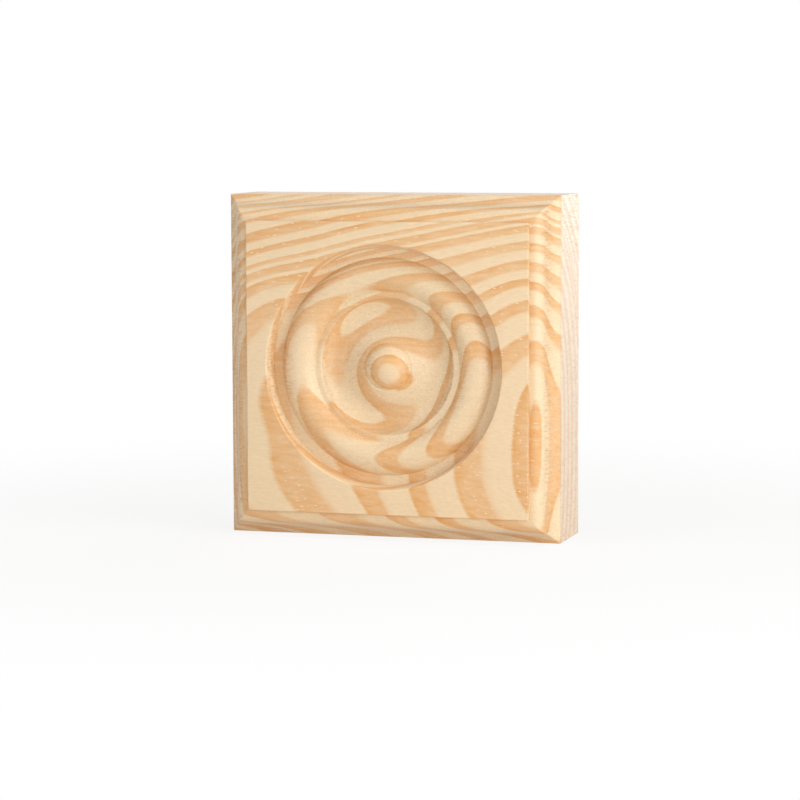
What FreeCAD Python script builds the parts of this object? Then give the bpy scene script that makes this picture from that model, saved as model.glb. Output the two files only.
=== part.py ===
import FreeCAD, Part
import math
import os

import Sketcher

# Corner rosette block: a square pine block with an ogee border and a turned rosette sunk in its face.
# Millimetres. The origin is the middle of the back face. +Z is up, the face looks along -Y and the
# back, which lies against the wall, looks along +Y.

NODE = "rosette_block"

# Driving sizes: name, value, what it measures.
SIZES = [
    ("block_width", 88.9, "side of the square block"),
    ("block_thickness", 27.0, "block, from face to back"),
    ("moulding_width", 6.65, "moulded border, from the raised panel to the block's side"),
    ("panel_step", 1.2, "height of the square step round the raised panel"),
    ("land_width", 0.3, "flat land at the foot of that step"),
    ("ogee_round", 3.6, "radius of the ogee's rounded upper half"),
    ("ogee_hollow", 6.5, "radius of the ogee's hollow lower half"),
    ("edge_depth", 7.4, "depth below the face at which the ogee runs out on the side"),
    ("face_margin", 5.9, "plain face between the panel's edge and the rosette's rim"),
    ("rosette_shift_right", -0.8, "turning centre, right of the block's centre"),
    ("rosette_shift_up", 0.25, "turning centre, above the block's centre"),
    ("ground_depth", 4.0, "depth below the face of the rosette's floor and fillet"),
    ("rim_round", 0.5, "radius that eases the rim"),
    ("wall_run", 1.3, "wall, from the rim in to its foot"),
    ("floor_width", 2.4, "flat floor between the wall and the ring"),
    ("ring_width", 8.75, "raised ring, foot to foot"),
    ("ring_foot_angle", 55.5, "slope of the ring at its feet, in degrees"),
    ("fillet_width", 1.8, "flat fillet between the ring and the cove"),
    ("cove_foot_angle", 66.0, "slope of the cove where it comes up to the fillet, in degrees"),
    ("cove_slope_angle", 25.0, "slope of the cove's straight inner side, in degrees"),
    ("collar_depth", 4.3, "depth below the face of the collar and the button's foot"),
    ("collar_width", 0.5, "flat collar round the button"),
    ("button_radius", 6.1, "button at its foot"),
    ("button_foot_angle", 57.0, "slope of the button's dome at its foot, in degrees"),
    ("cutter_overrun", 5.0, "how far each cut runs out past the block"),
]

# Sizes that follow from the driving ones.
BLOCK_HALF = "sizes.block_width / 2"
PANEL_HALF = f"({BLOCK_HALF} - sizes.moulding_width)"
RIM_RADIUS = f"({PANEL_HALF} - sizes.face_margin)"
WALL_FOOT_RADIUS = f"({RIM_RADIUS} - sizes.wall_run)"
RING_OUTSIDE = f"({WALL_FOOT_RADIUS} - sizes.floor_width)"
RING_INSIDE = f"({RING_OUTSIDE} - sizes.ring_width)"
COVE_OUTSIDE = f"({RING_INSIDE} - sizes.fillet_width)"
COVE_INSIDE = "(sizes.button_radius + sizes.collar_width)"
COVE_WIDTH = f"({COVE_OUTSIDE} - {COVE_INSIDE})"
COVE_RISE = "(sizes.collar_depth - sizes.ground_depth)"
RING_CURVE = "sizes.ring_width / 2 / sin(sizes.ring_foot_angle * 1 deg)"
COVE_SLOPE = "tan(sizes.cove_slope_angle * 1 deg)"
COVE_SINES = "(sin(sizes.cove_slope_angle * 1 deg) + sin(sizes.cove_foot_angle * 1 deg))"
COVE_COSINES = "(cos(sizes.cove_slope_angle * 1 deg) - cos(sizes.cove_foot_angle * 1 deg))"
COVE_CURVE = f"({COVE_WIDTH} * {COVE_SLOPE} + {COVE_RISE}) / ({COVE_SLOPE} * {COVE_SINES} + {COVE_COSINES})"
COVE_SLOPE_RUN = f"({COVE_WIDTH} - {COVE_CURVE} * {COVE_SINES})"
BUTTON_CURVE = "sizes.button_radius / sin(sizes.button_foot_angle * 1 deg)"

BORDER_SIDES = 4
FULL_TURN = 360.0

# How a sketch names its own origin.
ORIGIN = (-1, 1)


def start_of(edge):
    """How a sketch names the first point of an edge."""
    return edge, 1


def end_of(edge):
    """How a sketch names the last point of an edge."""
    return edge, 2


def centre_of(edge):
    """How a sketch names the centre of a round edge."""
    return edge, 3


def make_sheet(doc):
    """The spreadsheet of driving sizes, one row each."""
    sheet = doc.addObject("Spreadsheet::Sheet", "sizes")
    for row, (name, value, meaning) in enumerate(SIZES, start=1):
        sheet.set(f"A{row}", meaning)
        sheet.set(f"B{row}", str(value))
        sheet.setAlias(f"B{row}", name)
    doc.recompute()


def origin_feature(body, role):
    """The body's own origin plane or axis that has this role."""
    return next(item for item in body.Origin.OriginFeatures if item.Role == role)


def make_sketch(body, name, plane):
    """An empty sketch on one of the body's origin planes."""
    sketch = body.newObject("Sketcher::SketchObject", name)
    sketch.AttachmentSupport = [(origin_feature(body, plane), "")]
    sketch.MapMode = "FlatFace"
    return sketch


def value_of(sketch, expression):
    """What an expression on the sheet comes to."""
    return float(sketch.evalExpression(expression))


def point(across, up):
    """A place on a sketch."""
    return FreeCAD.Vector(across, up, 0)


def arc_middle(centre, first, last):
    """The point halfway along the shorter arc from first to last about centre."""
    outward = (first - centre) + (last - centre)
    return centre + outward.normalize() * first.distanceToPoint(centre)


def arc_rise(chord, foot_angle):
    """How far an arc stands off its chord, where it meets the chord's line at foot_angle degrees."""
    return chord / 2 * math.tan(math.radians(foot_angle) / 2)


def line(sketch, first, last):
    """A straight edge, with the names of its first and last points."""
    index = sketch.addGeometry(Part.LineSegment(first, last), False)
    return index, start_of(index), end_of(index)


def arc(sketch, first, middle, last):
    """A round edge through three points. A sketch runs its arcs anticlockwise, so the ends may swap."""
    index = sketch.addGeometry(Part.Arc(first, middle, last), False)
    anticlockwise = (last - first).cross(middle - first).z < 0
    if anticlockwise:
        return index, start_of(index), end_of(index)
    return index, end_of(index), start_of(index)


def constraint(kind, places, *value):
    """A constraint on whole edges, given by number, and points, given by edge and end."""
    numbers = []
    for place in places:
        numbers.extend(place if isinstance(place, tuple) else (place,))
    return Sketcher.Constraint(kind, *numbers, *value)


def tie(sketch, kind, *places):
    """A geometric constraint between edges or points."""
    sketch.addConstraint(constraint(kind, places))


def measure(sketch, name, expression, kind, *places):
    """A dimension that the sheet drives. It starts at its value, so that the drawing stays in place."""
    index = sketch.addConstraint(constraint(kind, places, value_of(sketch, expression)))
    sketch.renameConstraint(index, name)
    sketch.setExpression(f"Constraints.{name}", expression)


def make_block(body):
    """The square blank, from the back face at the origin plane forward to the face."""
    sketch = make_sketch(body, "block_outline", "XZ_Plane")
    half = value_of(sketch, BLOCK_HALF)
    bottom = line(sketch, point(-half, -half), point(half, -half))
    right = line(sketch, point(half, -half), point(half, half))
    top = line(sketch, point(half, half), point(-half, half))
    left = line(sketch, point(-half, half), point(-half, -half))
    for one, other in ((bottom, right), (right, top), (top, left), (left, bottom)):
        tie(sketch, "Coincident", one[2], other[1])
    for side in (bottom, top):
        tie(sketch, "Horizontal", side[0])
    for side in (left, right):
        tie(sketch, "Vertical", side[0])
    tie(sketch, "Symmetric", bottom[1], top[1], ORIGIN)
    measure(sketch, "width", "sizes.block_width", "DistanceX", bottom[1], bottom[2])
    measure(sketch, "height", "sizes.block_width", "DistanceY", right[1], right[2])
    pad = body.newObject("PartDesign::Pad", "block")
    pad.Profile = sketch
    pad.setExpression("Length", "sizes.block_thickness")
    return pad


def make_border(body):
    """The moulded border: one straight cut along the top edge, then the same on all four sides.

    The section is drawn with depth below the face across and height above the centre up. The four
    cuts run right through, so they meet in mitred corners.
    """
    sizes = body.Document.sizes
    sketch = make_sketch(body, "border_section", "YZ_Plane")
    sketch.setExpression("AttachmentOffset.Base.x", "-sizes.block_thickness")

    half = value_of(sketch, BLOCK_HALF)
    panel = value_of(sketch, PANEL_HALF)
    outside = half + sizes.cutter_overrun
    in_front = -sizes.cutter_overrun
    step_foot = point(sizes.panel_step, panel)
    land_end = point(sizes.panel_step, panel + sizes.land_width)
    edge = point(sizes.edge_depth, half)

    # The ogee is a round that leaves the land level and a hollow that ends on the block's side. The
    # line between their centres passes through the point where they meet.
    round_centre = land_end + point(sizes.ogee_round, 0)
    to_edge = edge - round_centre
    centre_gap = sizes.ogee_round + sizes.ogee_hollow
    cosine = (to_edge.Length**2 + centre_gap**2 - sizes.ogee_hollow**2) / (2 * to_edge.Length * centre_gap)
    lean = math.atan2(to_edge.y, to_edge.x) + math.acos(cosine)
    toward_hollow = point(math.cos(lean), math.sin(lean))
    meet = round_centre + toward_hollow * sizes.ogee_round
    hollow_centre = round_centre + toward_hollow * centre_gap

    step = line(sketch, point(in_front, panel), step_foot)
    land = line(sketch, step_foot, land_end)
    upper = arc(sketch, land_end, arc_middle(round_centre, land_end, meet), meet)
    lower = arc(sketch, meet, arc_middle(hollow_centre, meet, edge), edge)
    way_out = line(sketch, edge, point(sizes.edge_depth, outside))
    top = line(sketch, point(sizes.edge_depth, outside), point(in_front, outside))
    front = line(sketch, point(in_front, outside), point(in_front, panel))

    for one, other in ((step, land), (lower, way_out), (way_out, top), (top, front), (front, step)):
        tie(sketch, "Coincident", one[2], other[1])
    tie(sketch, "Tangent", land[2], upper[1])
    tie(sketch, "Tangent", upper[2], lower[1])
    for side in (step, top):
        tie(sketch, "Horizontal", side[0])
    for side in (land, way_out, front):
        tie(sketch, "Vertical", side[0])
    measure(sketch, "panel_half", PANEL_HALF, "DistanceY", ORIGIN, land[1])
    measure(sketch, "step", "sizes.panel_step", "DistanceX", ORIGIN, land[1])
    measure(sketch, "land", "sizes.land_width", "DistanceY", land[1], land[2])
    measure(sketch, "round", "sizes.ogee_round", "Radius", upper[0])
    measure(sketch, "hollow", "sizes.ogee_hollow", "Radius", lower[0])
    measure(sketch, "edge_depth", "sizes.edge_depth", "DistanceX", ORIGIN, way_out[1])
    measure(sketch, "block_half", BLOCK_HALF, "DistanceY", ORIGIN, way_out[1])
    measure(sketch, "overrun_out", "sizes.cutter_overrun", "DistanceY", way_out[1], way_out[2])
    measure(sketch, "overrun_front", "sizes.cutter_overrun", "DistanceX", step[1], ORIGIN)

    cut = body.newObject("PartDesign::Pocket", "border_cut")
    cut.Profile = sketch
    cut.Type = "ThroughAll"
    cut.SideType = "Symmetric"
    border = body.newObject("PartDesign::PolarPattern", "border")
    border.Originals = [cut]
    border.Axis = (origin_feature(body, "Y_Axis"), [""])
    border.Angle = FULL_TURN
    border.Occurrences = BORDER_SIDES
    body.Tip = border
    return border


def make_rosette(body):
    """The turned rosette, cut by one turn of its section.

    The section is drawn with radius across and depth below the face up. From the middle out it is a
    domed button, a collar, a cove, a fillet, a raised ring, a floor and the wall up to the rim. The
    cove is lopsided: it slopes straight down from the collar, then turns up in a round to the fillet.
    """
    sizes = body.Document.sizes
    sketch = make_sketch(body, "rosette_section", "XY_Plane")
    sketch.setExpression("AttachmentOffset.Base.x", "sizes.rosette_shift_right")
    sketch.setExpression("AttachmentOffset.Base.y", "-sizes.block_thickness")
    sketch.setExpression("AttachmentOffset.Base.z", "sizes.rosette_shift_up")

    ground = sizes.ground_depth
    in_front = -sizes.cutter_overrun

    # The button stands on the collar.
    button_foot = point(sizes.button_radius, sizes.collar_depth)
    button_rise = arc_rise(2 * sizes.button_radius, sizes.button_foot_angle)
    dome_top = point(0, sizes.collar_depth - button_rise)
    dome_centre = dome_top + point(0, value_of(sketch, BUTTON_CURVE))

    # The fillet, the ring's feet and the floor lie on the ground, in this order from the middle out.
    feet = (COVE_OUTSIDE, RING_INSIDE, RING_OUTSIDE, WALL_FOOT_RADIUS)
    cove_end, ring_start, ring_end, wall_foot = (point(value_of(sketch, foot), ground) for foot in feet)
    ring_rise = arc_rise(sizes.ring_width, sizes.ring_foot_angle)
    ring_top = (ring_start + ring_end) * 0.5 - point(0, ring_rise)

    # The cove's round takes up the direction of its straight slope, so its centre stands square to the
    # slope's end.
    slope_start = point(value_of(sketch, COVE_INSIDE), sizes.collar_depth)
    slope_angle = math.radians(sizes.cove_slope_angle)
    slope_run = value_of(sketch, COVE_SLOPE_RUN)
    slope_end = slope_start + point(slope_run, slope_run * math.tan(slope_angle))
    square_to_slope = point(math.sin(slope_angle), -math.cos(slope_angle))
    cove_centre = slope_end + square_to_slope * value_of(sketch, COVE_CURVE)

    rim = value_of(sketch, RIM_RADIUS)
    rim_edge = point(rim, 0)
    ease_centre = point(rim, sizes.rim_round)
    ease_start = point(rim - sizes.rim_round, sizes.rim_round)

    button = arc(sketch, dome_top, arc_middle(dome_centre, dome_top, button_foot), button_foot)
    collar = line(sketch, button_foot, slope_start)
    slope = line(sketch, slope_start, slope_end)
    cove = arc(sketch, slope_end, arc_middle(cove_centre, slope_end, cove_end), cove_end)
    fillet = line(sketch, cove_end, ring_start)
    ring = arc(sketch, ring_start, ring_top, ring_end)
    floor = line(sketch, ring_end, wall_foot)
    wall = line(sketch, wall_foot, ease_start)
    ease = arc(sketch, ease_start, arc_middle(ease_centre, ease_start, rim_edge), rim_edge)
    mouth = line(sketch, rim_edge, point(rim, in_front))
    front = line(sketch, point(rim, in_front), point(0, in_front))
    axis = line(sketch, point(0, in_front), dome_top)

    outline = (button, collar, slope, cove, fillet, ring, floor, wall, ease, mouth, front, axis)
    for i, edge in enumerate(outline):
        kind = "Tangent" if edge in (cove, ease) else "Coincident"
        tie(sketch, kind, outline[i - 1][2], edge[1])
    for flat in (collar, fillet, floor, front):
        tie(sketch, "Horizontal", flat[0])
    tie(sketch, "Horizontal", fillet[2], floor[1])
    tie(sketch, "Vertical", mouth[0])
    tie(sketch, "Vertical", centre_of(ease[0]), mouth[1])
    tie(sketch, "Horizontal", ORIGIN, mouth[1])
    for on_axis in (axis[1], axis[2], centre_of(button[0])):
        tie(sketch, "Vertical", ORIGIN, on_axis)
    measure(sketch, "ground", "sizes.ground_depth", "DistanceY", ORIGIN, fillet[1])
    measure(sketch, "collar_depth", "sizes.collar_depth", "DistanceY", ORIGIN, collar[1])
    measure(sketch, "button_radius", "sizes.button_radius", "DistanceX", ORIGIN, collar[1])
    measure(sketch, "button_curve", BUTTON_CURVE, "Radius", button[0])
    measure(sketch, "collar", "sizes.collar_width", "DistanceX", collar[1], collar[2])
    measure(sketch, "slope_run", COVE_SLOPE_RUN, "DistanceX", slope[1], slope[2])
    measure(sketch, "cove_curve", COVE_CURVE, "Radius", cove[0])
    measure(sketch, "fillet", "sizes.fillet_width", "DistanceX", fillet[1], fillet[2])
    measure(sketch, "ring", "sizes.ring_width", "DistanceX", fillet[2], floor[1])
    measure(sketch, "ring_curve", RING_CURVE, "Radius", ring[0])
    measure(sketch, "floor", "sizes.floor_width", "DistanceX", floor[1], floor[2])
    measure(sketch, "wall_foot", WALL_FOOT_RADIUS, "DistanceX", ORIGIN, wall[1])
    measure(sketch, "rim", RIM_RADIUS, "DistanceX", ORIGIN, mouth[1])
    measure(sketch, "rim_round", "sizes.rim_round", "Radius", ease[0])
    measure(sketch, "overrun", "sizes.cutter_overrun", "DistanceY", mouth[2], mouth[1])

    rosette = body.newObject("PartDesign::Groove", "rosette")
    rosette.Profile = sketch
    rosette.ReferenceAxis = (sketch, ["V_Axis"])
    rosette.Angle = FULL_TURN
    return rosette


def check(doc, body, features):
    """Stops unless every object is sound and each cut took wood away."""
    for item in doc.Objects:
        if "Invalid" in item.State or "Error" in item.State:
            raise RuntimeError(f"{item.Name} failed: {item.State}")
        if item.isDerivedFrom("Sketcher::SketchObject") and item.solve() != 0:
            raise RuntimeError(f"the sketch {item.Name} doesn't solve")
    volumes = [feature.Shape.Volume for feature in features]
    if volumes != sorted(volumes, reverse=True) or len(set(volumes)) < len(volumes):
        raise RuntimeError(f"a cut took nothing away: {volumes}")
    shape = body.Shape
    if shape.isNull() or not shape.isValid() or len(shape.Solids) != 1:
        raise RuntimeError("the block isn't one sound solid")


doc = FreeCAD.newDocument("corner_rosette_block")
make_sheet(doc)
body = doc.addObject("PartDesign::Body", NODE)
body.Label = NODE
features = [make(body) for make in (make_block, make_border, make_rosette)]
doc.recompute()
check(doc, body, features)
os.makedirs("parts", exist_ok=True)
body.Shape.exportStep(f"parts/{NODE}.step")
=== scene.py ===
import math

import bpy
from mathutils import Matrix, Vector


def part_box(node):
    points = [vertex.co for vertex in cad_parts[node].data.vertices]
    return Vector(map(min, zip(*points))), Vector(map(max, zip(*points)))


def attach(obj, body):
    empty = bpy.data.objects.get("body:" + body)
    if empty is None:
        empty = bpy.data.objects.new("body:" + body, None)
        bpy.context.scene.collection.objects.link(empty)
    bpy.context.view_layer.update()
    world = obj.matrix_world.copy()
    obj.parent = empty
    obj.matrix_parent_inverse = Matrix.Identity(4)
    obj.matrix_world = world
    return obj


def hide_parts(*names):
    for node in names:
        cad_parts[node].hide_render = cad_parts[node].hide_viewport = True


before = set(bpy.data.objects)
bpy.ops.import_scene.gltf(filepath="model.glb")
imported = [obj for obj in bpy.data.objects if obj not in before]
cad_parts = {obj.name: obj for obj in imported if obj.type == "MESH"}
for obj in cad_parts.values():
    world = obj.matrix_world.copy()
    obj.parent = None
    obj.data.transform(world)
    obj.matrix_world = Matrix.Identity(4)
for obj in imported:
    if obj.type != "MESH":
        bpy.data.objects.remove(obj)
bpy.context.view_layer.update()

# The block: one piece of clear flat-sawn pine, planed square, with no finish on it. A shaper ran the
# ogee border along its four edges, mitred at the corners, and one plunge of a form cutter turned the
# rosette. Sizes in this section are in millimetres, and MM turns them into metres.

MM = 0.001
block_low, block_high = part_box("rosette_block")
half_width = (block_high.x - block_low.x) / 2 / MM
thickness = (block_high.y - block_low.y) / MM

moulding_width = 6.65
panel_step = 1.2
land_width = 0.3
ogee_round = 3.6
ogee_hollow = 6.5
edge_depth = 7.4
rosette_right = -0.8
rosette_up = 0.25
ground_depth = 4.0
wall_foot_radius = 30.6
rim_radius = 31.5
floor_width = 2.4
ring_width = 8.75
ring_foot_angle = 55.5
fillet_width = 1.8
cove_foot_angle = 66.0
cove_slope_angle = 25.0
collar_depth = 4.3
collar_width = 0.5
button_radius = 6.1
button_foot_angle = 57.0

# How far back each arris is rounded off by sanding and handling.
rim_ease = 0.4
fillet_ease = 0.7
crease_ease = 0.3
button_ease = 0.2
collar_ease = 0.15
panel_ease = 0.3
outer_ease = 0.3
corner_ease = 0.25

# Distance on the face over which the rings stay round or square.
face_lead = 1.0

# How many steps each stretch of an outline is drawn in.
button_steps = 14
cove_slope_steps = 6
cove_steps = 24
ring_steps = 24
floor_steps = 3
wall_steps = 4
face_steps = 8
land_steps = 3
round_steps = 10
hollow_steps = 12
side_steps = 6
back_steps = 6
ease_steps = 5

panel_half = half_width - moulding_width
land_end = panel_half + land_width
ring_outside = wall_foot_radius - floor_width
ring_inside = ring_outside - ring_width
cove_outside = ring_inside - fillet_width
cove_inside = button_radius + collar_width


def bow(centre, curve, first, last, steps):
    """Points on an arc of radius curve about centre. Both angles are in degrees, from straight forward
    and towards the rim."""
    for i in range(steps + 1):
        turn = math.radians(first + (last - first) * i / steps)
        yield centre[0] + curve * math.sin(turn), centre[1] - curve * math.cos(turn)


def straight(first, last, steps):
    """Points on a straight line, without its two ends."""
    for i in range(1, steps):
        yield tuple(a + (b - a) * i / steps for a, b in zip(first, last))


def eased(outline, eases, guard=0.06):
    """Rounds the outline's corners that are named in eases, each by its own set-back along both sides. A
    guard point on each side keeps the rounding out of the flat beside it."""
    made = [Vector(outline[0])]
    for before, corner, after in zip(outline, outline[1:], outline[2:]):
        set_back = eases.get(corner, 0)
        corner = Vector(corner)
        if set_back:
            inward = (Vector(before) - corner).normalized()
            onward = (Vector(after) - corner).normalized()
            first = corner + inward * set_back
            last = corner + onward * set_back
            made.append(first + inward * guard)
            for i in range(ease_steps + 1):
                share = i / ease_steps
                made.append(first.lerp(corner, share).lerp(corner.lerp(last, share), share))
            made.append(last + onward * guard)
        else:
            made.append(corner)
    made.append(Vector(outline[-1]))
    return made


# The turned section, radius and depth, from the middle of the button out to the plain face.
# The cove slopes straight down from the collar, then turns up in a round to the fillet.
button_curve = button_radius / math.sin(math.radians(button_foot_angle))
button_centre = (0.0, collar_depth + button_curve * math.cos(math.radians(button_foot_angle)))
slope, foot = math.radians(cove_slope_angle), math.radians(cove_foot_angle)
sines = math.sin(slope) + math.sin(foot)
cosines = math.cos(slope) - math.cos(foot)
cove_width = cove_outside - cove_inside
cove_rise = collar_depth - ground_depth
cove_curve = (cove_width * math.tan(slope) + cove_rise) / (math.tan(slope) * sines + cosines)
cove_centre = (cove_outside - cove_curve * math.sin(foot), ground_depth - cove_curve * math.cos(foot))
ring_curve = ring_width / 2 / math.sin(math.radians(ring_foot_angle))
ring_centre = (
    (ring_inside + ring_outside) / 2,
    ground_depth + ring_curve * math.cos(math.radians(ring_foot_angle)),
)
button_foot = (button_radius, collar_depth)
collar_edge = (cove_inside, collar_depth)
cove_points = list(
    bow(cove_centre, cove_curve, 180 + cove_slope_angle, 180 - cove_foot_angle, cove_steps)
)
cove_edge = (cove_outside, ground_depth)
ring_foot = (ring_inside, ground_depth)
ring_points = list(bow(ring_centre, ring_curve, -ring_foot_angle, ring_foot_angle, ring_steps))
wall_foot = (wall_foot_radius, ground_depth)
rim = (rim_radius, 0.0)
turned = [
    *list(bow(button_centre, button_curve, 0, button_foot_angle, button_steps))[:-1],
    button_foot,
    collar_edge,
    *straight(collar_edge, cove_points[0], cove_slope_steps),
    *cove_points[:-1],
    cove_edge,
    ring_foot,
    *ring_points[1:],
    *straight((ring_outside, ground_depth), wall_foot, floor_steps),
    wall_foot,
    *straight(wall_foot, rim, wall_steps),
    rim,
    (rim_radius + face_lead, 0.0),
]
turned = eased(
    turned,
    {
        button_foot: button_ease,
        collar_edge: collar_ease,
        cove_edge: fillet_ease,
        ring_foot: crease_ease,
        rim: rim_ease,
    },
)

# The moulded section, half-width and depth. The ogee's round leaves the land level, its hollow ends on
# the block's side, and the line between their centres passes through the point where they meet.
panel_edge = (panel_half, 0.0)
step_foot = (panel_half, panel_step)
outer_edge = (half_width, edge_depth)
back_edge = (half_width, thickness)
back_middle = (0.0, thickness)
round_centre = Vector((land_end, panel_step + ogee_round))
to_edge = Vector(outer_edge) - round_centre
centre_gap = ogee_round + ogee_hollow
cosine = (to_edge.length_squared + centre_gap**2 - ogee_hollow**2) / (2 * to_edge.length * centre_gap)
meet_lean = math.pi - math.atan2(to_edge.x, to_edge.y) - math.acos(cosine)
hollow_centre = round_centre + Vector((math.sin(meet_lean), -math.cos(meet_lean))) * centre_gap
edge_lean = math.asin((hollow_centre.x - half_width) / ogee_hollow)
ogee = []
for i in range(round_steps):
    lean = meet_lean * i / round_steps
    ogee.append(tuple(round_centre + Vector((math.sin(lean), -math.cos(lean))) * ogee_round))
for i in range(hollow_steps):
    lean = meet_lean + (edge_lean - meet_lean) * i / hollow_steps
    ogee.append(tuple(hollow_centre + Vector((-math.sin(lean), math.cos(lean))) * ogee_hollow))
moulded = [
    (panel_half - face_lead, 0.0),
    panel_edge,
    step_foot,
    *straight(step_foot, ogee[0], land_steps),
    *ogee,
    outer_edge,
    *straight(outer_edge, back_edge, side_steps),
    back_edge,
    *straight(back_edge, back_middle, back_steps),
    back_middle,
]
moulded = eased(moulded, {panel_edge: panel_ease, outer_edge: outer_ease, back_edge: outer_ease})

# Each ring of the block is a circle plus a square. A row of the template holds the circle's radius, the
# depth and the square's half-width, and between the rosette and the panel one grows out of the other.
template_rows = [(radius, depth, 0.0) for radius, depth in turned[:-1]]
for i in range(face_steps):
    share = i / face_steps
    template_rows.append((turned[-1].x * (1 - share), 0.0, moulded[0].x * share))
template_rows += [(0.0, depth, half) for half, depth in moulded]

template_mesh = bpy.data.meshes.new("block_template")
template_mesh.from_pydata([Vector(row) * MM for row in template_rows], [], [])
template = bpy.data.objects.new("block_template", template_mesh)
bpy.context.scene.collection.objects.link(template)


def add_node(tree, kind, inputs=None, **settings):
    """Adds a node with these settings. An input is a plain value, or a node or socket that feeds it."""
    made = tree.nodes.new(kind)
    for name, value in settings.items():
        setattr(made, name, value)
    for key, value in (inputs or {}).items():
        if isinstance(value, bpy.types.Node):
            value = next(socket for socket in value.outputs if socket.enabled)
        if isinstance(value, bpy.types.NodeSocket):
            tree.links.new(value, made.inputs[key])
        else:
            made.inputs[key].default_value = value
    return made


def calc(tree, operation, *terms):
    """A Math node on one, two or three terms."""
    return add_node(tree, "ShaderNodeMath", dict(enumerate(terms)), operation=operation)


def vector_calc(tree, operation, first, second=None):
    """A Vector Math node on one or two terms. To scale a vector, the second is one number."""
    inputs = {0: first}
    if second is not None:
        inputs["Scale" if operation == "SCALE" else 1] = second
    return add_node(tree, "ShaderNodeVectorMath", inputs, operation=operation)


def spread(tree, value, low, high, to_low=0.0, to_high=1.0, **settings):
    """Carries a value from one span over to another, and holds it at both ends."""
    span = {"From Min": low, "From Max": high, "To Min": to_low, "To Max": to_high}
    return add_node(tree, "ShaderNodeMapRange", {"Value": value, **span}, **settings)


def noise(tree, place, detail, roughness=0.5, scale=1.0):
    """Soft random spots about 1 / scale across, with finer ones on them."""
    look = {"Scale": scale, "Detail": detail, "Roughness": roughness}
    return add_node(tree, "ShaderNodeTexNoise", {"Vector": place, **look})


def blend(tree, share, first, second):
    """Mixes the second colour into the first by this share. A Mix node takes its colours at inputs 6 and 7
    and gives the mixed one at output 2."""
    mixed = add_node(tree, "ShaderNodeMix", {0: share, 6: first, 7: second}, data_type="RGBA")
    return mixed.outputs[2]


def srgb(hex_colour):
    """A colour written as sRGB hex, in linear light."""
    channels = [int(hex_colour[i : i + 2], 16) / 255 for i in (1, 3, 5)]
    linear = [c / 12.92 if c <= 0.04045 else ((c + 0.055) / 1.055) ** 2.4 for c in channels]
    return (*linear, 1.0)


# Flat-sawn pine, planed and turned, bare. The eye sees broad pale earlywood and narrow orange latewood,
# soft where the summer begins and sharp where the year ends, bent by every curve of the cutter, with
# short pale dashes where resin canals are cut open and a rough nap below the planed face.
# Lengths are in millimetres: x to the right, z up and depth back from the face.

pine = bpy.data.materials.new("bare_flat_sawn_pine")
pine.use_nodes = True
tree = pine.node_tree
tree.nodes.clear()

# The pith runs in front of the face, nearly level and nearer to it on the right. The rings lie round it,
# more crowded above it than below.
pith_in_front = 48.0
pith_height = -10.4
grain_rise = -0.039
grain_rise_bend = -0.0005
grain_dive = 0.286
grain_dive_bend = 0.00065
grain_twist = 0.00095
crowding_above = 1.1
crowding_below = 0.67

# The rings dip towards the pith in some places and, where the dip is negative, swell away from it:
# right, up, reach and dip of each place.
ring_dips = [
    (-33, 18, 14, -2.5),
    (35, -11, 22, 2.2),
    (34, 20, 9, -1.6),
    (28, -42, 22, -2.0),
    (1, -16, 14, 1.6),
    (-1, -4, 7, -0.9),
    (-22, -3, 7, 0.9),
    (-31, -19, 8, 0.7),
    (-8, 24, 12, -1.0),
    (8, 7, 8, 1.0),
]

place = vector_calc(tree, "SCALE", add_node(tree, "ShaderNodeTexCoord").outputs["Object"], 1 / MM)
axes = add_node(tree, "ShaderNodeSeparateXYZ", {0: place})
right, up = axes.outputs["X"], axes.outputs["Z"]
depth = calc(tree, "ADD", axes.outputs["Y"], thickness)

twist = calc(tree, "MULTIPLY_ADD", up, grain_twist, grain_dive)
dive = calc(tree, "MULTIPLY_ADD", right, grain_dive_bend, twist)
rise = calc(tree, "MULTIPLY_ADD", right, grain_rise_bend, grain_rise)
pith_depth = calc(tree, "MULTIPLY_ADD", right, dive, -pith_in_front)
pith_up = calc(tree, "MULTIPLY_ADD", right, rise, pith_height)
behind_pith = calc(tree, "SUBTRACT", depth, pith_depth)
over_pith = calc(tree, "SUBTRACT", up, pith_up)
above = calc(tree, "MAXIMUM", over_pith, 0.0)
below = calc(tree, "MULTIPLY", over_pith, crowding_below)
off_pith = calc(tree, "MULTIPLY_ADD", above, crowding_above - crowding_below, below)
section = add_node(tree, "ShaderNodeCombineXYZ", {0: behind_pith, 1: off_pith})
from_pith = vector_calc(tree, "LENGTH", section).outputs["Value"]
age = calc(tree, "SUBTRACT", from_pith, pith_in_front)
flat_place = add_node(tree, "ShaderNodeCombineXYZ", {0: right, 2: up})
for dip_right, dip_up, reach, dip in ring_dips:
    offset = vector_calc(tree, "DISTANCE", flat_place, (dip_right, 0.0, dip_up)).outputs["Value"]
    share = calc(tree, "DIVIDE", offset, reach)
    square = calc(tree, "MULTIPLY", share, share)
    bell = calc(tree, "EXPONENT", calc(tree, "MULTIPLY", square, -1.0))
    age = calc(tree, "MULTIPLY_ADD", bell, dip, age)


def in_lengths(tree, place, along, across):
    """A place in the grain, counted in these lengths along the fibres and across them."""
    return vector_calc(tree, "DIVIDE", place, (along, across, across))


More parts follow.
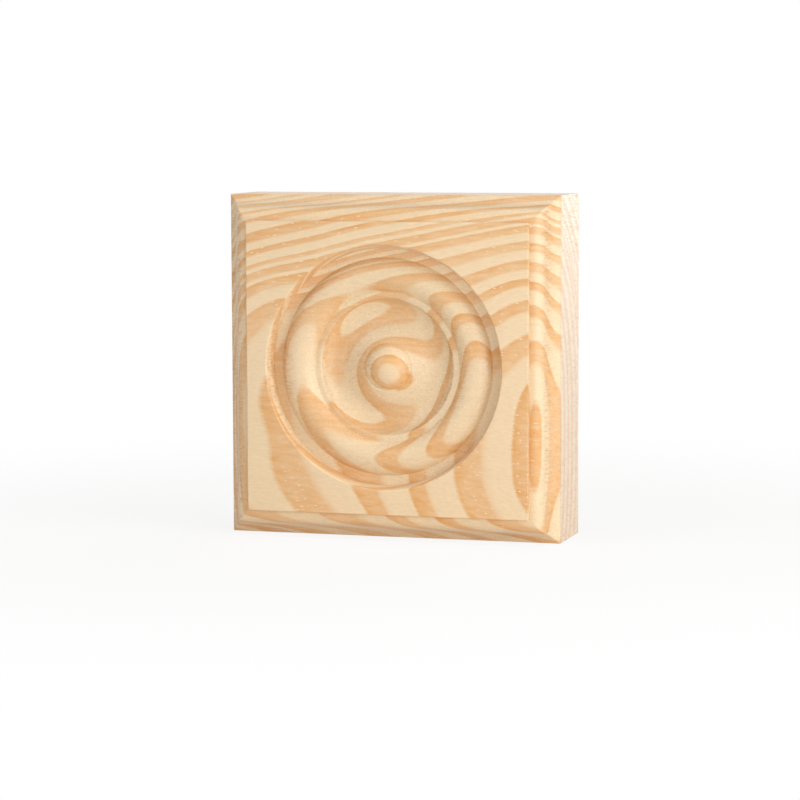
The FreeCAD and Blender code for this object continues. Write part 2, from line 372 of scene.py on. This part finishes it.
# Long waves in the rings, and the feathered edge that the fibres give them.
wave_height = 0.3
wave_length = 24.0
wave_width = 12.0
feather_height = 0.14
fibre_length = 12.0
fibre_width = 0.45
grain_place = add_node(tree, "ShaderNodeCombineXYZ", {0: right, 1: age, 2: over_pith})
wave = noise(tree, in_lengths(tree, grain_place, wave_length, wave_width), detail=1.0)
fibre = noise(tree, in_lengths(tree, grain_place, fibre_length, fibre_width), detail=3.0, roughness=0.6)
age = calc(tree, "MULTIPLY_ADD", wave, wave_height, age)
age = calc(tree, "MULTIPLY_ADD", fibre, feather_height, age)
age = calc(tree, "SUBTRACT", age, (wave_height + feather_height) / 2)

# Each year's earlywood and latewood, and how deep the latewood's tone is.
years = [
    (2.5, 1.85, 1.0),
    (1.85, 2.5, 0.85),
    (2.35, 1.85, 1.0),
    (2.3, 1.8, 0.95),
    (1.85, 2.6, 0.85),
    (2.15, 2.3, 0.75),
    (1.7, 1.95, 0.9),
    (0.4, 1.8, 0.85),
    (0.6, 0.95, 0.75),
    (1.7, 1.35, 1.0),
    (1.45, 2.45, 1.0),
    (2.0, 1.9, 0.9),
    (1.15, 0.9, 0.8),
    (1.3, 2.2, 0.65),
    (1.0, 0.8, 0.5),
    (1.2, 2.2, 1.0),
    (2.0, 1.1, 0.9),
    (2.4, 1.2, 0.8),
    (2.0, 1.0, 0.9),
    (2.6, 1.1, 0.8),
    (1.7, 0.8, 0.9),
    (2.2, 1.3, 0.8),
]
first_year = -12.4
growth = sum(early + late for early, late, _ in years)
share_of_growth = spread(tree, age, first_year, first_year + growth)
calendar = add_node(tree, "ShaderNodeFloatCurve", {"Value": share_of_growth})
depth_of_tone = add_node(tree, "ShaderNodeFloatCurve", {"Value": share_of_growth})
calendar_points = calendar.mapping.curves[0].points
tone_points = depth_of_tone.mapping.curves[0].points
grown = 0.0
for number, (early, late, tone) in enumerate(years):
    autumn = grown + early
    grown = autumn + late
    calendar_points.new(autumn / growth, (number + 0.5) / len(years))
    tone_points.new((autumn + grown) / 2 / growth, tone)
    if number + 1 < len(years):
        calendar_points.new(grown / growth, (number + 1) / len(years))
for points in (calendar_points, tone_points):
    for point in points:
        point.handle_type = "VECTOR"
calendar.mapping.update()
depth_of_tone.mapping.update()
season = calc(tree, "FRACT", calc(tree, "MULTIPLY", calendar, float(len(years))))

# How dark the latewood is through the year: a soft start, the deepest tone last and a sharp end.
stops = [
    (0.0, 0.0),
    (0.42, 0.03),
    (0.5, 0.22),
    (0.57, 0.7),
    (0.8, 0.82),
    (0.94, 1.0),
    (1.0, 0.0),
]
latewood = add_node(tree, "ShaderNodeValToRGB", {"Fac": season})
ramp = latewood.color_ramp
while len(ramp.elements) < len(stops):
    ramp.elements.new(0.5)
for element, (at, tone) in zip(ramp.elements, stops):
    element.position = at
    element.color = (tone, tone, tone, 1.0)
latewood = calc(tree, "MULTIPLY", latewood.outputs["Color"], depth_of_tone)

# The tone drifts in long streaks within a band.
drift_length = 22.0
drift_width = 1.3
drift_span = (0.3, 0.7)
palest_drift = 0.68
deepest_drift = 1.15
drift = noise(tree, in_lengths(tree, grain_place, drift_length, drift_width), detail=2.0)
drift = spread(tree, drift, *drift_span, palest_drift, deepest_drift)
latewood = calc(tree, "MULTIPLY", latewood, drift)

# Resin canals lie along the grain in the latewood, in patches. Where the plane laid them open, they show
# as short pale dashes of many sizes, and where the form cutter crossed them they hardly show.
planed_depth = 0.3
turned_depth = 2.5
turned_canals = 0.2
canal_length = 3.6
canal_gap = 0.7
canal_width = 0.34
canal_chance_span = (0.0, 0.45)
canal_patch_length = 18.0
canal_patch_span = (0.32, 0.55)
below_face = spread(tree, depth, planed_depth, turned_depth)
planed = spread(tree, below_face, 0.0, 1.0, 1.0, turned_canals)
canal_place = in_lengths(tree, grain_place, canal_length, canal_gap)
canals = add_node(tree, "ShaderNodeTexVoronoi", {"Vector": canal_place, "Scale": 1.0}).outputs
canal_edge = canal_width / 2 / canal_gap
canal = spread(tree, canals["Distance"], canal_edge, canal_edge / 2, interpolation_type="SMOOTHSTEP")
canal_chance = add_node(tree, "ShaderNodeSeparateColor", {0: canals["Color"]}).outputs["Red"]
canal_chance = spread(tree, canal_chance, *canal_chance_span)
canal_patch = noise(tree, place, detail=0.0, scale=1 / canal_patch_length)
canal_patch = spread(tree, canal_patch, *canal_patch_span)
for share in (latewood, canal_patch, planed, canal_chance):
    canal = calc(tree, "MULTIPLY", canal, share)

# End grain: how squarely the surface cuts the fibres, and the torn fibres that the cutter leaves there.
end_grain_span = (0.3, 0.9)
tear_length = 2.4
tear_width = 0.3
tear_span = (0.5, 0.64)
normal = add_node(tree, "ShaderNodeTexCoord").outputs["Normal"]
grain_way = Vector((1.0, grain_dive, grain_rise)).normalized()
cut = vector_calc(tree, "DOT_PRODUCT", normal, tuple(grain_way)).outputs["Value"]
cut = calc(tree, "ABSOLUTE", cut)
end_grain = spread(tree, cut, *end_grain_span, interpolation_type="SMOOTHSTEP")
tear_place = vector_calc(tree, "DIVIDE", place, (tear_length, tear_length, tear_width))
tear = spread(tree, noise(tree, tear_place, detail=2.0, roughness=0.7), *tear_span)
torn = calc(tree, "MULTIPLY", tear, end_grain)

# Painted sheen: both ends of the block are blended towards pale grey, standing in for the whitish sheen
# that grazing light gives their end grain.
end_sheen_share = 0.3
from_middle = calc(tree, "ABSOLUTE", right)
painted_end_sheen = spread(tree, from_middle, half_width - outer_ease, half_width, 0.0, end_sheen_share)

# Everything below the planed face is left with a rough nap.
nap_grain = 0.45
nap = noise(tree, place, detail=2.0, roughness=0.7, scale=1 / nap_grain)
nap = calc(tree, "MULTIPLY", calc(tree, "SUBTRACT", nap, 0.5), below_face)

# Colour: earlywood to latewood, then fibre streaks, canals, a painted sheen on the ends and the duller
# torn grain.
EARLYWOOD = "#EACFA8"
LATEWOOD = "#DDA15D"
CANAL = "#F7E6CB"
TORN_GRAIN = "#BD9064"
END_SHEEN_GREY = "#C4BFB8"
streak_span = (0.25, 0.75)
dark_streak = 0.92
pale_streak = 1.05
nap_tint = 0.4
torn_tint = 0.5
streak = spread(tree, fibre, *streak_span, dark_streak, pale_streak)
streak = calc(tree, "MULTIPLY_ADD", nap, nap_tint, streak)
colour = blend(tree, latewood, srgb(EARLYWOOD), srgb(LATEWOOD))
colour = vector_calc(tree, "SCALE", colour, streak)
colour = blend(tree, canal, colour, srgb(CANAL))
# Painted sheen: the block's ends are turned pale grey here.
colour = blend(tree, painted_end_sheen, colour, srgb(END_SHEEN_GREY))
colour = blend(tree, calc(tree, "MULTIPLY", torn, torn_tint), colour, srgb(TORN_GRAIN))

# Relief in millimetres: hard latewood stands a little proud, canals and torn grain lie below the skin,
# and fibres and nap are rough.
relief = 0.0
for mark, proud in ((latewood, 0.015), (fibre, 0.03), (canal, -0.03), (torn, -0.06), (nap, 0.08)):
    relief = calc(tree, "MULTIPLY_ADD", mark, proud, relief)
rough_skin = add_node(tree, "ShaderNodeBump", {"Height": relief, "Strength": 1.0, "Distance": MM})

shader = add_node(
    tree,
    "ShaderNodeBsdfPrincipled",
    {
        "Base Color": colour,
        "Roughness": 0.4,
        "IOR": 1.53,
        "Normal": rough_skin,
        "Sheen Weight": 0.25,
        "Sheen Roughness": 0.3,
    },
)
add_node(tree, "ShaderNodeOutputMaterial", {"Surface": shader})

# The tree that sweeps the template round: it takes each column round the block in turn, finds which
# of the four sides it is on, and adds the circle to the square with its rounded corner.
columns_per_side = 132
sharp_angle = 25
weld_distance = 0.001
sweep = bpy.data.node_groups.new("turn_and_mould", "GeometryNodeTree")
sweep.interface.new_socket("Geometry", in_out="OUTPUT", socket_type="NodeSocketGeometry")
sweep_inputs = {
    "Template": ("NodeSocketObject", template),
    "Columns per side": ("NodeSocketInt", columns_per_side),
    "Rosette right": ("NodeSocketFloat", rosette_right * MM),
    "Rosette up": ("NodeSocketFloat", rosette_up * MM),
    "Square from": ("NodeSocketFloat", moulded[0].x * MM),
    "Corner ease": ("NodeSocketFloat", corner_ease * MM),
    "Face": ("NodeSocketFloat", block_low.y),
    "Sharp angle": ("NodeSocketFloat", math.radians(sharp_angle)),
    "Weld distance": ("NodeSocketFloat", weld_distance * MM),
    "Wood": ("NodeSocketMaterial", pine),
}
for name, (kind, _) in sweep_inputs.items():
    sweep.interface.new_socket(name, in_out="INPUT", socket_type=kind)
given = add_node(sweep, "NodeGroupInput").outputs

rows = add_node(sweep, "GeometryNodeObjectInfo", {"Object": given["Template"]}).outputs["Geometry"]
row_count = add_node(sweep, "GeometryNodeAttributeDomainSize", {0: rows}).outputs["Point Count"]
last_row = calc(sweep, "SUBTRACT", row_count, 1.0)
all_columns = calc(sweep, "MULTIPLY", given["Columns per side"], 4.0)
column_count = calc(sweep, "ADD", all_columns, 1.0)
sheet = add_node(
    sweep,
    "GeometryNodeMeshGrid",
    {"Size X": last_row, "Size Y": all_columns, "Vertices X": row_count, "Vertices Y": column_count},
)
spot = add_node(sweep, "ShaderNodeSeparateXYZ", {0: add_node(sweep, "GeometryNodeInputPosition")})
row = calc(sweep, "MULTIPLY_ADD", last_row, 0.5, spot.outputs["X"])
row = calc(sweep, "ROUND", row)
column = calc(sweep, "MULTIPLY_ADD", all_columns, 0.5, spot.outputs["Y"])
column = calc(sweep, "ROUND", column)
template_row = add_node(
    sweep,
    "GeometryNodeSampleIndex",
    {"Geometry": rows, "Value": add_node(sweep, "GeometryNodeInputPosition"), "Index": row},
    data_type="FLOAT_VECTOR",
)
template_row = add_node(sweep, "ShaderNodeSeparateXYZ", {0: template_row})
radius, row_depth, half = (template_row.outputs[axis] for axis in "XYZ")

quarter = calc(sweep, "DIVIDE", column, given["Columns per side"])
side_turn = calc(sweep, "MULTIPLY", calc(sweep, "FLOOR", quarter), -math.pi / 2)
along = calc(sweep, "MULTIPLY_ADD", calc(sweep, "FRACT", quarter), 2.0, -1.0)

circle_turn = calc(sweep, "MULTIPLY", along, math.pi / 4)
circle_out = calc(sweep, "COSINE", circle_turn)
circle_side = calc(sweep, "SINE", circle_turn)
circle = add_node(sweep, "ShaderNodeCombineXYZ", {0: circle_out, 2: circle_side})
circle = vector_calc(sweep, "SCALE", circle, radius)

# Columns crowd towards the corners, so that the rounding there has enough of them.
square_turn = calc(sweep, "MULTIPLY", along, math.pi / 2)
square_side = calc(sweep, "MULTIPLY", calc(sweep, "SINE", square_turn), half)
square = add_node(sweep, "ShaderNodeCombineXYZ", {0: half, 2: square_side})
ease = calc(sweep, "MINIMUM", given["Corner ease"], half)
inner = calc(sweep, "SUBTRACT", half, ease)
inner_low = calc(sweep, "MULTIPLY", inner, -1.0)
inner_side = add_node(sweep, "ShaderNodeClamp", {"Value": square_side, "Min": inner_low, "Max": inner})
inner_square = add_node(sweep, "ShaderNodeCombineXYZ", {0: inner, 2: inner_side})
outward = vector_calc(sweep, "SUBTRACT", square, inner_square)
outward = vector_calc(sweep, "SCALE", vector_calc(sweep, "NORMALIZE", outward), ease)
square = vector_calc(sweep, "ADD", inner_square, outward)

ring = vector_calc(sweep, "ADD", circle, square)
ring = add_node(
    sweep,
    "ShaderNodeVectorRotate",
    {"Vector": ring, "Angle": side_turn},
    rotation_type="Y_AXIS",
)
turned_share = spread(sweep, half, given["Square from"], 0.0)
shift = add_node(sweep, "ShaderNodeCombineXYZ", {0: given["Rosette right"], 2: given["Rosette up"]})
shift = vector_calc(sweep, "SCALE", shift, turned_share)
ring = vector_calc(sweep, "ADD", ring, shift)
back = calc(sweep, "ADD", given["Face"], row_depth)
ring = vector_calc(sweep, "ADD", ring, add_node(sweep, "ShaderNodeCombineXYZ", {1: back}))

skin = add_node(sweep, "GeometryNodeSetPosition", {"Geometry": sheet, "Position": ring})
skin = add_node(
    sweep,
    "GeometryNodeMergeByDistance",
    {"Geometry": skin, "Distance": given["Weld distance"]},
)
skin = add_node(
    sweep,
    "GeometryNodeSetShadeSmooth",
    {"Geometry": skin, "Shade Smooth": True},
    domain="FACE",
)
edge_angle = add_node(sweep, "GeometryNodeInputMeshEdgeAngle").outputs["Unsigned Angle"]
sharp = add_node(
    sweep,
    "FunctionNodeCompare",
    {0: edge_angle, 1: given["Sharp angle"]},
    operation="GREATER_THAN",
)
skin = add_node(
    sweep,
    "GeometryNodeSetShadeSmooth",
    {"Geometry": skin, "Selection": sharp, "Shade Smooth": False},
    domain="EDGE",
)
skin = add_node(sweep, "GeometryNodeRealizeInstances", {"Geometry": skin})
skin = add_node(sweep, "GeometryNodeSetMaterial", {"Geometry": skin, "Material": given["Wood"]})
add_node(sweep, "NodeGroupOutput", {0: skin})

block = bpy.data.objects.new("pine_rosette_block", bpy.data.meshes.new("pine_rosette_block"))
bpy.context.scene.collection.objects.link(block)
modifier = block.modifiers.new("turn_and_mould", "NODES")
modifier.node_group = sweep
for socket in sweep.interface.items_tree:
    if socket.in_out == "INPUT":
        modifier[socket.identifier] = sweep_inputs[socket.name][1]
evaluated = block.evaluated_get(bpy.context.evaluated_depsgraph_get())
block_mesh = bpy.data.meshes.new_from_object(evaluated)
block.modifiers.remove(modifier)
block.data = block_mesh
bpy.data.objects.remove(template)

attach(block, "root")
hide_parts("rosette_block")

# The floor: a plain pale sheet that the block stands on. The camera sees it as white paper with the
# block's soft shadow on it. Lengths from here on are in metres.

floor_reach = 3.0
shadow_near = 0.06
shadow_far = 0.25
white_near_block = 0.85
WHITE = "#FFFFFF"
PAPER = "#F4F3F0"


def seen_directly(tree):
    """1 for what the camera sees, also by way of gloss or glass, and 0 for light that falls on things."""
    path = add_node(tree, "ShaderNodeLightPath").outputs
    seen = calc(tree, "MAXIMUM", path["Is Camera Ray"], path["Is Glossy Ray"])
    return calc(tree, "MAXIMUM", seen, path["Is Transmission Ray"])


corner_ways = ((-1, -1), (1, -1), (1, 1), (-1, 1))
floor_corners = [(x * floor_reach, y * floor_reach, block_low.z) for x, y in corner_ways]
floor_mesh = bpy.data.meshes.new("floor")
floor_mesh.from_pydata(floor_corners, [], [(0, 1, 2, 3)])
floor = bpy.data.objects.new("floor", floor_mesh)
bpy.context.scene.collection.objects.link(floor)
paper = bpy.data.materials.new("white_paper")
paper.use_nodes = True
tree = paper.node_tree
tree.nodes.clear()
floor_spot = add_node(tree, "ShaderNodeTexCoord").outputs["Object"]
from_block = vector_calc(tree, "LENGTH", floor_spot).outputs["Value"]
bright = spread(
    tree, from_block, shadow_near, shadow_far, white_near_block, 1.0, interpolation_type="SMOOTHSTEP"
)
seen = calc(tree, "MULTIPLY", seen_directly(tree), bright)
lit = add_node(tree, "ShaderNodeBsdfDiffuse", {"Color": srgb(PAPER)})
white = add_node(tree, "ShaderNodeEmission", {"Color": srgb(WHITE), "Strength": 1.0})
surface = add_node(tree, "ShaderNodeMixShader", {0: seen, 1: lit, 2: white})
add_node(tree, "ShaderNodeOutputMaterial", {0: surface})
floor_mesh.materials.append(paper)

# The light: wide soft boxes at the right, the left, overhead and behind, and two small ones low in
# front that bring out the turned rings. The right is the brightest, so what faces left is shaded.

room_strength = 0.03
world = bpy.data.worlds.new("pale_room")
bpy.context.scene.world = world
world.use_nodes = True
tree = world.node_tree
tree.nodes.clear()
room = add_node(tree, "ShaderNodeBackground", {"Color": srgb(WHITE), "Strength": room_strength})
white = add_node(tree, "ShaderNodeBackground", {"Color": srgb(WHITE), "Strength": 1.0})
surface = add_node(tree, "ShaderNodeMixShader", {0: seen_directly(tree), 1: room, 2: white})
add_node(tree, "ShaderNodeOutputWorld", {0: surface})

# Each box's turn to the right and tilt up from the block in degrees, distance, width, height and watts.
block_middle = (block_low + block_high) / 2
for name, turn, tilt, far, width, tall, watts in (
    ("right_soft_box", 72, 20, 1.0, 0.5, 0.75, 5.6),
    ("left_soft_box", -48, 25, 1.0, 0.5, 0.5, 2.45),
    ("top_soft_box", 0, 85, 1.0, 0.5, 0.5, 3.4),
    ("low_right_soft_box", 45, 5, 0.35, 0.2, 0.13, 0.37),
    ("low_left_soft_box", -12, 5, 0.35, 0.2, 0.13, 0.13),
    ("back_soft_box", 160, 12, 1.0, 0.5, 0.4, 3.4),
):
    lamp = bpy.data.lights.new(name, "AREA")
    lamp.shape = "RECTANGLE"
    lamp.size = width
    lamp.size_y = tall
    lamp.energy = watts
    holder = bpy.data.objects.new(name, lamp)
    holder.visible_camera = False
    turn, tilt = math.radians(turn), math.radians(tilt)
    level = math.cos(tilt)
    way = Vector((math.sin(turn) * level, -math.cos(turn) * level, math.sin(tilt)))
    holder.location = block_middle + far * way
    holder.rotation_euler = (block_middle - holder.location).to_track_quat("-Z", "Y").to_euler()
    bpy.context.scene.collection.objects.link(holder)

# The camera: a long lens to the right of the block and a little above it.

camera_place = (0.2163, -0.7283, 0.0665)
camera_turn = 16.83
camera_down = 5.79
camera_roll = 0.2
lens_pixels = 2876.0
image_pixels = 800
camera_data = bpy.data.cameras.new("camera")
camera_data.sensor_width = 36.0
camera_data.lens = lens_pixels / image_pixels * camera_data.sensor_width
camera = bpy.data.objects.new("camera", camera_data)
camera.location = camera_place
camera.rotation_euler = [math.radians(angle) for angle in (90 - camera_down, camera_roll, camera_turn)]
bpy.context.scene.collection.objects.link(camera)
bpy.context.scene.camera = camera
bpy.context.scene.view_settings.view_transform = "Standard"
